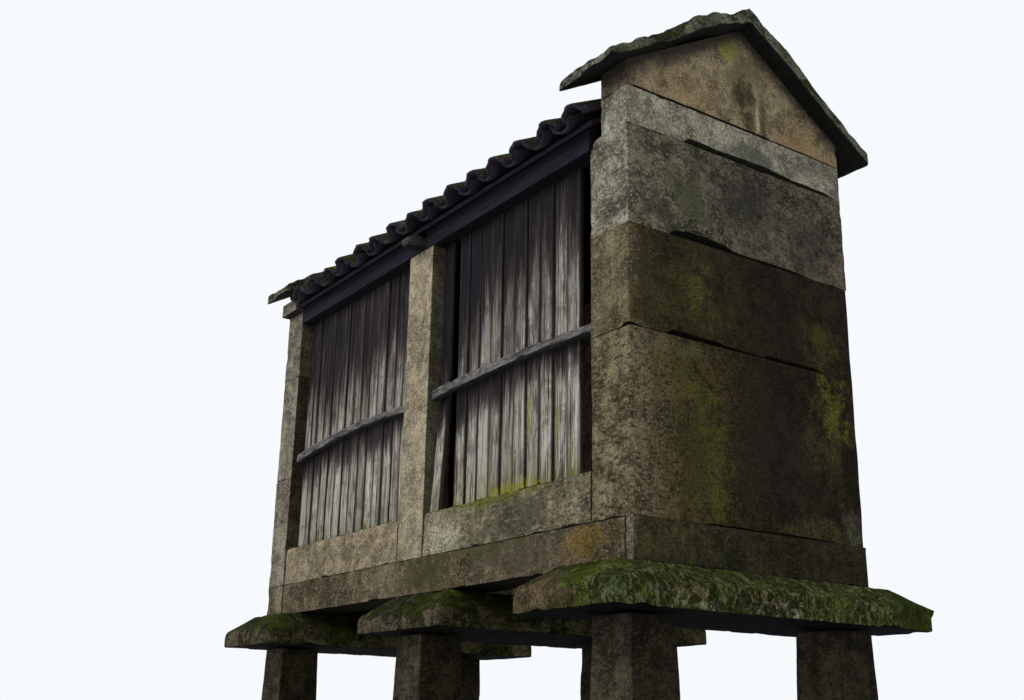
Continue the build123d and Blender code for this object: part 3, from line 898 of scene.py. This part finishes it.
def guard_slabs():
    """The three guard slabs, with moss on their slopes."""
    plain = {"light": (0.12, 0.098, 0.06), "dark": (0.029, 0.024, 0.014)}
    near = {
        "light": (0.165, 0.13, 0.074), "dark": (0.045, 0.036, 0.019), "finish": overgrown_and_shaded_below,
        "bare": ((1.38, -0.93, 0.78), (0.42, 0.26, 0.2)),
        "patches": [
            ((1.5, -0.93, 0.78), (0.3, 0.2, 0.16), (0.15, 0.105, 0.052), 0.8, 0.6),
            ((1.69, -0.9, 0.83), (0.15, 0.14, 0.07), (0.12, 0.215, 0.008), 1.2, 0.6),
        ],
    }
    rows = (("near", 0.78, 0.042, near), ("middle", 0.42, 0.014, plain), ("far", 0.52, 0.018, plain))
    for i, (place, moss, cushion, own) in enumerate(rows):
        look = granite(f"guard_{place}", gable=(0.75, 0.8, 0.6), moss=moss, lichen=0.4,
                       streaks=0.5, tooling=0.6, gloss=0.04, **own)
        guard_slab(place, look, SEED + 80 + i, cushion)


def gable_sill_near(look):
    """The near gable sill: a face stone as wide as the granary and a block between the sill beams."""
    name = "gable_sill_near"
    low, high = box_of(name)
    co = cad_points(name)
    split = level(co, 1, high[1])[:, 0].min()
    inner = level(co, 0, low[0])[:, 1].max()
    replace_node(name, [
        stone(f"{name}_face", (split, low[1], low[2]), high, look, SEED + 94, corner=0.012),
        stone(f"{name}_block", (low[0], -inner, low[2]), (split, inner, high[2]), look, SEED + 95,
              corner=0.005),
    ])


def sills():
    """The long sill beams and the gable sills."""
    patches = on_side([
        (0.9, 1.0, 0.56, 0.14, (0.08, 0.069, 0.041), 0.95, 0.6),
        (1.44, 1.0, 0.2, 0.1, (0.22, 0.13, 0.028), 0.95, 0.6),
        (0.12, 1.0, 0.36, 0.15, (0.058, 0.056, 0.018), 1.0, 0.6),
        (0.5, 1.07, 0.75, 0.05, (0.075, 0.072, 0.028), 0.9, 0.6),
    ])
    look = granite("sill", (0.215, 0.175, 0.11), (0.088, 0.071, 0.041), (0.4, 0.38, 0.3), 0.1, 0.15, 0.4, 0.5,
                   patches, gloss=0.05)
    for i, side in enumerate(("left", "right")):
        lay(f"sill_beam_{side}", look, SEED + 90 + i, edge=0.005, corner=0.004, hollows=0.01, grit=0.005)
    # The gable sills' faces across the granary darken towards the right, for dampness and as painted shade.
    damp_and_shade = granite("gable_sill", (0.27, 0.225, 0.145), (0.115, 0.094, 0.057), (0.24, 0.26, 0.15), 0.2, 0.1,
                   0.5, 0.6, damp_and_shade=(0.17, 0.165, 0.105), fade=0.06)
    gable_sill_near(damp_and_shade)
    lay("gable_sill_far", damp_and_shade, SEED + 97, hollows=0.01)


def side_stones():
    """Low panels and middle posts of the long sides."""
    patches = on_side([
        (0.95, 1.18, 0.58, 0.15, (0.078, 0.067, 0.038), 0.85, 0.7),
        (0.66, 1.295, 0.66, 0.055, (0.13, 0.14, 0.016), 1.0, 0.6),
        (0.78, 1.322, 0.3, 0.03, (0.4, 0.34, 0.014), 1.2, 0.8),
        (0.24, 1.15, 0.34, 0.22, (0.34, 0.305, 0.205), 1.2, 0.4),
        (0.3, 1.16, 0.22, 0.1, (0.44, 0.4, 0.28), 1.1, 0.4),
    ])
    shade = (0.4, 0.4, 0.3)
    near_panel = granite("near_panel", (0.31, 0.268, 0.17), (0.105, 0.086, 0.05), shade, 0.12, 0.25, 0.4, 0.9,
                         patches)
    far_panel = granite("far_panel", (0.355, 0.29, 0.184), (0.205, 0.164, 0.104), shade, 0.06, 0.25, 0.3, 0.3)
    post = granite("post", (0.4, 0.335, 0.225), (0.27, 0.222, 0.146), (0.33, 0.36, 0.35), 0.0, 0.1, 0.2, 0.2)
    for i, side in enumerate(("left", "right")):
        node = f"low_panels_{side}"
        replace_node(node, [
            stone(f"low_panel_{side}_{b}", *extent(co), near_panel if b else far_panel,
                  SEED + 100 + 2 * i + b, edge=0.006, corner=0.004, hollows=0.009, bed=0.2)
            for b, co in enumerate(solids(node))
        ])
        lay(f"middle_post_{side}", post, SEED + 110 + i, edge=0.005, corner=0.007)


# Boards and rails

# Where the boards are dark, reddish brown where the eave and the rails keep the rain off and near-black as
# painted shade under them: the line (x, z) down to which the eave keeps them so, the (x, depth) of the dark
# band below a rail, and the height over which they turn from dark to bleached
BLEACH_LINES = {
    "near": [(0.1, 1.95), (0.27, 1.99), (0.33, 2.04), (0.4, 2.14), (0.52, 2.28), (0.78, 2.35), (1.1, 2.42),
             (1.48, 2.38)],
    "far": [(-1.57, 2.14), (-1.0, 2.18), (-0.58, 2.24), (-0.37, 2.32), (-0.15, 2.4)],
}
SHELTER_AND_SHADOW_DEPTHS = {
    "near": [(0.1, 0.22), (0.55, 0.14), (1.0, 0.08), (1.48, 0.05)],
    "far": [(-1.57, 0.09), (-0.6, 0.12), (-0.15, 0.09)],
}
BLEACH_SOFT = 0.13


def rail_lines(co):
    """The undersides and tops of the two ends of a rail, and how far it bows up between them."""
    low, high = extent(co)
    ends = [level(co, 0, x)[:, 2] for x in (low[0], high[0])]
    floor = [end.min() for end in ends]
    crown = [end.max() for end in ends]
    share = (co[:, 0] - low[0]) / (high[0] - low[0])
    bow = (co[:, 2] - np.interp(share, (0, 1), crown)).max()
    return floor, crown, bow


def board_wall(place, side, look, seed):
    """Upright boards in the places of the CAD boards, each with its own edges, lean and weather line."""
    name = f"boards_{place}_{side}"
    rain_line = np.array(BLEACH_LINES[place])
    depths = np.array(SHELTER_AND_SHADOW_DEPTHS[place])
    rail_solid = solids(f"rails_{side}")[1 if place == "near" else 0]
    rail_x = (rail_solid[:, 0].min(), rail_solid[:, 0].max())
    floor, _, bow = rail_lines(rail_solid)
    left_end, right_end = (corner[0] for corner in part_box(name))
    outer = 1 if side == "right" else -1
    rng = np.random.default_rng(seed)
    boards = []
    marks = {"board": [], "edge": [], "bleach": []}
    for i, co in enumerate(solids(name)):
        low, high = extent(co)
        head = level(co, 2, high[2])[:, 1]
        foot = level(co, 2, low[2])[:, 1]
        knee = co[co[:, 2] < high[2] - TOUCH][:, 2].max()
        sprung = foot.mean() - head.mean()
        low[1], high[1] = head.min(), head.max()
        points, faces = box_lattice(low, high, BOARD_CELL, BOARD_ARRIS)
        tone, lean, set_back, tip_size, step = rng.uniform(0, 1, 5)
        grown = rng.uniform(0.002, 0.0045, 2) if side == "right" else rng.uniform(-0.0035, 0.0034, 2)
        q = (points - (low + high) / 2) / ((high - low) / 2)
        x, z = points[:, 0], points[:, 2]
        up = (z - low[2]) / (high[2] - low[2])
        own_line = np.column_stack([i * 9.1 + (q[:, 0] > 0) * 4.4, z * 0, z])
        inset = 0.008 * (rough_noise(own_line, 0.22, 4, seed) - 0.35) + 0.003 * lean * up
        inset -= np.where(q[:, 0] > 0, grown[1], grown[0])
        points[:, 0] -= np.sign(q[:, 0]) * inset * (np.abs(q[:, 0]) > 0.3)
        points[:, 0] = np.clip(points[:, 0], left_end, right_end)
        warp = 0.006 * rough_noise(points * (0.3, 1, 1), 0.5, 2, seed + i)
        face_out = q[:, 1] * outer > 0.5
        points[:, 1] -= outer * face_out * (0.01 * set_back + warp)
        points[:, 1] += sprung * np.clip((knee - z) / max(knee - low[2], 0.1), 0, 1)
        tip = 0.12 * tip_size * (1 - np.abs(q[:, 0])) + 0.2 * (step - 0.5) - 0.03
        rain = np.interp(x, rain_line[:, 0], rain_line[:, 1]) + tip
        along = np.clip((x - rail_x[0]) / (rail_x[1] - rail_x[0]), 0, 1)
        rail_z = np.interp(x, rail_x, floor) + bow * 4 * along * (1 - along)
        # Below a rail the boards are dark: wood kept from the rain, with near-black painted shadow right
        # under the rail.
        shelter_and_shadow = rail_z - np.interp(x, depths[:, 0], depths[:, 1]) * (0.6 + 0.8 * step)
        bleach = np.where(z < rail_z + 0.036, (shelter_and_shadow - z) / (0.5 * BLEACH_SOFT), (rain - z) / BLEACH_SOFT)
        boards.append((points, faces))
        marks["board"].append(np.full(len(points), tone))
        marks["edge"].append(q[:, 0])
        marks["bleach"].append(np.clip(bleach, -4 if place == "near" else -1.3, 4))
    marks = {k: np.concatenate(v) for k, v in marks.items()}
    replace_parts(make_object(f"{name}_weathered", *join(boards), look, False, **marks), name)


def rail(co, name, look, seed):
    """A rough rounded rail between the ends of its CAD solid, bowed and tapered as that is."""
    low, high = extent(co)
    floor, crown, bow = rail_lines(co)
    flat_low = np.array([low[0], low[1], 0.0])
    flat_high = np.array([high[0], high[1], RAIL_HEIGHT])
    points, faces = box_lattice(flat_low, flat_high, RAIL_CELL, 0.012)
    points = wear(points, flat_low, flat_high, RAIL_ARRIS, 0.004, 0.006, seed)
    t = (points[:, 0] - low[0]) / (high[0] - low[0])
    under = np.interp(t, (0, 1), floor)
    over = np.interp(t, (0, 1), crown)
    points[:, 2] = under + (over - under) * points[:, 2] / RAIL_HEIGHT + bow * 4 * t * (1 - t)
    knots = 0.01 * (rough_noise(points * (1, 0.2, 0.2), 0.1, 3, seed + 3) - 0.5)
    points[:, 2] = np.clip(points[:, 2] + knots, low[2], high[2])
    return make_object(name, points, faces, look)


def long_sides():
    """Boards and rails of both long sides."""
    board_look = weathered_board()
    rail_look = old_timber("rail_timber", (0.265, 0.246, 0.234), (0.045, 0.039, 0.039), 0.6, (9, 70, 70))
    for i, side in enumerate(("left", "right")):
        for j, place in enumerate(("near", "far")):
            board_wall(place, side, board_look, SEED + 120 + 2 * i + j)
        node = f"rails_{side}"
        replace_node(node, [rail(co, f"rail_{side}_{b}", rail_look, SEED + 130 + 2 * i + b)
                            for b, co in enumerate(solids(node))])


# Roof

def tie_beam(look):
    """The rough tie beam with rounded ends, its top cut to the slopes."""
    low, high = box_of("tie_beam")
    co = cad_points("tie_beam")
    flat_top = level(co, 2, high[2])[:, 1]
    end_top = co[co[:, 1] < low[1] + 0.02][:, 2].max()

    def shape(points):
        left = (points[:, 1] - low[1]) / (flat_top.min() - low[1])
        right = (high[1] - points[:, 1]) / (high[1] - flat_top.max())
        top = end_top + (high[2] - end_top) * np.clip(np.minimum(left, right), 0, 1)
        return raised(points, low, high, top)

    lay("tie_beam", look, SEED + 140, edge=0.022, corner=0.026, hollows=0.005, shape=shape)


def timbers():
    """Dark timbers: the CAD solids in their material, with painted shade under the eave, and the tie beam."""
    across = (80, 4, 80)
    # Wall plates, ridge beam and roof deck are near-black and purple: old dark timber with painted shade of
    # the eave.
    beam = old_timber("dark_timber_along", (0.027, 0.021, 0.035), (0.011, 0.009, 0.016))
    rough = old_timber("dark_timber_across", (0.1, 0.092, 0.088), (0.022, 0.02, 0.022), 0.3, across)
    floor = old_timber("floor_timber", (0.12, 0.1, 0.085), (0.04, 0.033, 0.028), 0.1, across)
    eave = old_timber("eave_timber", (0.015, 0.012, 0.02), (0.008, 0.006, 0.011))
    looks = {"wall_plates_left": beam, "wall_plates_right": beam, "ridge_beam": beam, "roof_deck_left": eave,
             "roof_deck_right": eave, "floor_boards": floor}
    for name, look in looks.items():
        nodes[name].data.materials.clear()
        nodes[name].data.materials.append(look)
    tie_beam(rough)


def roof_slope(side):
    """Where the tiles of one slope lie: their box, the boarding's top edge, and the slope's directions."""
    hand = "left" if side < 0 else "right"
    name = f"roof_tiles_{hand}"
    low, high = box_of(name)
    deck = cad_points(f"roof_deck_{hand}")
    out = deck[:, 1] * side
    ridge = deck[out < out.min() + TOUCH]
    eave = deck[out > out.max() - TOUCH]
    angle = math.atan((ridge[:, 2].max() - eave[:, 2].max()) / abs(ridge[0, 1] - eave[0, 1]))
    down = np.array([0.0, side * math.cos(angle), -math.sin(angle)])
    up = np.array([0.0, side * math.sin(angle), math.cos(angle)])
    top = np.array([0.0, ridge[0, 1], ridge[:, 2].max()])
    reach = np.max((cad_points(name) - top) @ down)
    return {"name": name, "low": low, "high": high, "top": top, "down": down, "up": up, "reach": reach}


def shell(rows, turns, place):
    """Points and faces of a thin curved tile; place(skin, t, u) gives a point, with t and u from 0 to 1."""
    wide = turns + 1
    points = [place(skin, r / rows, i / turns)
              for skin in (0, 1) for r in range(rows + 1) for i in range(wide)]
    skin_size = wide * (rows + 1)
    faces = []
    for r in range(rows):
        for i in range(turns):
            a = r * wide + i
            quad = (a, a + 1, a + wide + 1, a + wide)
            faces.append(quad)
            faces.append(tuple(q + skin_size for q in reversed(quad)))
    last = rows * wide
    for i in range(turns):
        faces.append((i, i + skin_size, i + 1 + skin_size, i + 1))
        faces.append((last + i, last + i + 1, last + i + 1 + skin_size, last + i + skin_size))
    for r in range(rows):
        a = r * wide
        b = a + turns
        faces.append((a, a + wide, a + wide + skin_size, a + skin_size))
        faces.append((b, b + skin_size, b + wide + skin_size, b + wide))
    return np.array(points), faces


def round_tile(slope, x, lift, start, length, half_head, half_foot, cover, own):
    """One tapered round tile on a slope; covers turn their back up, channels their hollow.

    Channels rise at the ridge, below the ridge tiles.
    """
    def place(skin, t, u):
        radius = (half_head + (half_foot - half_head) * t) / math.sin(TILE_SPAN)
        a = TILE_SPAN * (2 * u - 1)
        grown = radius - (TILE_THICK if skin else 0)
        height = grown * math.cos(a) - radius * math.cos(TILE_SPAN)
        if not cover:
            height = radius - radius * math.cos(TILE_SPAN) - height
        chip = 0.007 * math.sin(7 * a + own[1] * 30) * (t == 1)
        along = start + length * t + chip
        out = lift + height + 0.018 * t * (1 if cover else 0.6) + own[2] * 0.007
        if not cover:
            out += HEAD_RISE * max(0.0, 1 - along / HEAD_RISE_LENGTH)
        at = slope["top"] + slope["down"] * along + slope["up"] * out
        return (x + grown * math.sin(a) + own[0] * (t - 0.5) * 0.03, at[1], at[2])

    return shell(*TILE_STEPS, place)


def gather(name, tiles, look, seed):
    """Join tiles to one piece, with a number for each tile and a little roughness."""
    points, faces = join(tiles)
    points = points + 0.004 * (rough_noise(points, 0.07, 2, seed)[:, None] - 0.5)
    rng = np.random.default_rng(seed)
    tone = np.concatenate([np.full(len(own), rng.uniform()) for own, _ in tiles])
    return make_object(name, points, faces, look, tile=tone)


def ridge_bed(slope):
    """The bed of the ridge tiles, which closes the hollow below them."""
    start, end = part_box("ridge_tiles")
    low = (start[0] + 0.02, RIDGE_Y - 0.032, slope["top"][2] + 0.004)
    high = (end[0] - 0.02, RIDGE_Y - 0.006, end[2] - 0.045)
    return box_lattice(low, high, 0.05, 0.004)


def lay_tiles(side, look, seed):
    """Channel tiles side by side, with cover tiles over their joints, in lapped courses from the eave up.

    The left slope also carries the bed of the ridge tiles.
    """
    slope = roof_slope(side)
    low, high = slope["low"], slope["high"]
    first = high[0] - COVER_HALF + 0.004
    count = int((high[0] - low[0]) / TILE_PITCH) + 2
    step = TILE_LENGTH - TILE_LAP
    rows = math.ceil((slope["reach"] - TILE_LAP) / step)
    rng = np.random.default_rng(seed)
    tiles = []
    for column in range(count):
        for cover in (False, True):
            x = first - column * TILE_PITCH - (0 if cover else TILE_PITCH / 2)
            half = COVER_HALF if cover else CHANNEL_HALF
            ends = (half * 0.84, half) if cover else (half, half * 0.86)
            lift = COVER_LIFT if cover else CHANNEL_LIFT
            if x - half * 0.55 < low[0] or x + half * 0.55 > high[0]:
                continue
            for row in range(rows):
                own = rng.uniform(-1, 1, 3)
                foot = slope["reach"] - row * step - (0.0 if cover else CHANNEL_BACK) - 0.008 * abs(own[1])
                length = min(TILE_LENGTH, foot - 0.004)
                if length < TILE_SHORTEST:
                    continue
                at = (x + own[0] * 0.004, lift, foot - length, length)
                points, faces = round_tile(slope, *at, *ends, cover, own)
                points[:, 0] = np.clip(points[:, 0], low[0] + 0.001, high[0] - 0.001)
                if cover != (side > 0):
                    faces = [f[::-1] for f in faces]
                tiles.append((points, faces))
    if side < 0:
        tiles.append(ridge_bed(slope))
    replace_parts(gather(f"{slope['name']}_laid", tiles, look, seed), slope["name"])


def ridge_tiles(look, seed):
    """Lapped half-round tiles along the ridge."""
    low, high = box_of("ridge_tiles")
    centre = (low[1] + high[1]) / 2
    half = (high[1] - low[1]) / 2 - 0.004
    rise = high[2] - low[2] - 0.022
    length = high[0] - low[0] - RIDGE_LAP
    count = round(length / (TILE_LENGTH - RIDGE_LAP))
    step = length / count
    rng = np.random.default_rng(seed)
    tiles = []
    for i in range(count):
        own = rng.uniform(-1, 1, 3)
        start = low[0] + i * step

        def place(skin, t, u, start=start, own=own):
            a = RIDGE_SPAN * (2 * u - 1)
            thick = TILE_THICK if skin else 0
            wide = half * (0.9 + 0.1 * t) - thick
            bend = (math.cos(a) - math.cos(RIDGE_SPAN)) / (1 - math.cos(RIDGE_SPAN))
            y = centre + wide * math.sin(a) / math.sin(RIDGE_SPAN) + 0.004 * own[0]
            z = low[2] + (rise - thick) * bend + 0.018 * t + 0.003 * own[1]
            return (start + (step + RIDGE_LAP) * t, y, z)

        tiles.append(shell(*RIDGE_STEPS, place))
    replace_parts(gather("ridge_tiles_laid", tiles, look, seed), "ridge_tiles")


def roof():
    """Timbers, tiles and ridge."""
    timbers()
    look = roof_tile()
    lay_tiles(-1, look, SEED + 150)
    lay_tiles(1, look, SEED + 151)
    ridge_tiles(look, SEED + 152)


# Stage, light and camera

BACKDROP = (0.93, 0.955, 0.985, 1)
FLOOR_HALF = 300.0
FADE_FROM = 6.0
FADE_TO = 18.0


def stage():
    """A pale floor under the granary, which fades into the backdrop far away."""
    mesh = bpy.data.meshes.new("floor")
    corners = [(x * FLOOR_HALF, y * FLOOR_HALF, 0) for x, y in ((-1, -1), (1, -1), (1, 1), (-1, 1))]
    mesh.from_pydata(corners, [], [(0, 1, 2, 3)])
    s = Shade("stage_floor")
    tint = s.mix(s.noise(2, 2), (0.8, 0.805, 0.81), (0.82, 0.825, 0.83))
    mesh.materials.append(s.done(tint, (s.noise(30, 2), 0.0003)))
    far = s.rise(s.vector("LENGTH", s.place), FADE_FROM, FADE_TO)
    seen = s.node("ShaderNodeLightPath").outputs["Is Camera Ray"]
    haze = s.node("ShaderNodeEmission", {"Color": BACKDROP})
    blend = s.node("ShaderNodeMixShader", {"Fac": s.times(far, seen), 1: s.surface.outputs["BSDF"],
                                           2: haze.outputs[0]})
    s.feed(s.tree.nodes["Material Output"], {"Surface": blend.outputs[0]})
    put("floor", mesh)


def area_light(name, place, target, size, power, colour):
    """A square soft light that looks at target."""
    data = bpy.data.lights.new(name, "AREA")
    data.size = size
    data.energy = power
    data.color = colour
    lamp = put(name, data)
    lamp.location = place
    lamp.rotation_euler = (Vector(target) - Vector(place)).to_track_quat("-Z", "Y").to_euler()


def lights():
    """An even overcast sky, with more light from the open left side; the camera sees a plain backdrop."""
    world = bpy.data.worlds.new("sky")
    bpy.context.scene.world = world
    world.use_nodes = True
    world.node_tree.nodes.clear()
    sky = Nodes(world.node_tree)
    seen = sky.node("ShaderNodeBackground", {"Color": BACKDROP, "Strength": 1.0})
    soft = sky.node("ShaderNodeBackground", {"Color": (0.9, 0.95, 1.0, 1), "Strength": 0.62})
    path = sky.node("ShaderNodeLightPath")
    pick = sky.node("ShaderNodeMixShader", {"Fac": path.outputs["Is Camera Ray"], 1: soft.outputs[0],
                                            2: seen.outputs[0]})
    sky.node("ShaderNodeOutputWorld", {"Surface": pick.outputs[0]})
    area_light("left_sky", (-2.0, -9.0, 6.5), (0, -0.6, 1.8), 6.0, 300, (1.0, 0.98, 0.94))
    area_light("near_sky", (9.0, 2.0, 8.0), (1.75, 0, 2.2), 6.0, 60, (0.96, 0.98, 1.0))


def camera():
    """The camera at the photograph's place."""
    yaw, pitch, roll = (math.radians(a) for a in (CAMERA_YAW, CAMERA_PITCH, CAMERA_ROLL))
    data = bpy.data.cameras.new("camera")
    data.sensor_width = 36
    data.lens = CAMERA_LENS
    data.clip_end = 1000
    shot = put("camera", data)
    aim = Matrix.Rotation(-yaw, 4, "Z") @ Matrix.Rotation(math.pi / 2 + pitch, 4, "X")
    shot.matrix_world = Matrix.Translation(CAMERA_PLACE) @ aim @ Matrix.Rotation(roll, 4, "Z")
    bpy.context.scene.camera = shot


near_gable()
far_gable()
gable_tops()
pillars()
guard_slabs()
sills()
side_stones()
long_sides()
roof()
stage()
lights()
camera()
bpy.context.scene.view_settings.view_transform = "Standard"
